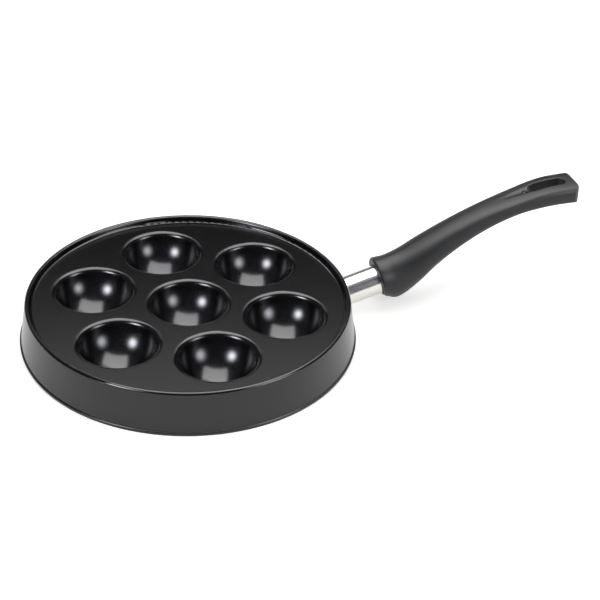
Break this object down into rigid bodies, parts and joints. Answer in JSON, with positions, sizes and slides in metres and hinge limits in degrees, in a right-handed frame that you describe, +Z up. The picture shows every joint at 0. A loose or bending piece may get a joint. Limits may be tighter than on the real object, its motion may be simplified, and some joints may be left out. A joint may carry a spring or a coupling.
{
  "type": "aebleskiver pan",
  "caption": "Round non-stick pan whose plate has hemispherical wells for baking ball-shaped pancakes, with a fixed curved grip on a metal ferrule.",
  "frame": {"origin": "middle of the foot ring, on the surface that the pan stands on", "axes": "+X from the pan's middle out along the handle, +Z up; Y is square to the handle"},
  "size_m": [0.3811, 0.2188, 0.0737],
  "materials": {
    "nonstick_coating": "satin",
    "bare_aluminium": "satin",
    "polished_stainless": "polished",
    "phenolic": "satin",
    "plated_steel": "satin"
  },
  "bodies": {
    "root": {"pan_body": "nonstick_coating", "handle_boss": "bare_aluminium", "ferrule": "polished_stainless", "grip": "phenolic", "handle_screw": "plated_steel", "spring_washer": "plated_steel", "flat_washer": "plated_steel"}
  },
  "joints": []
}
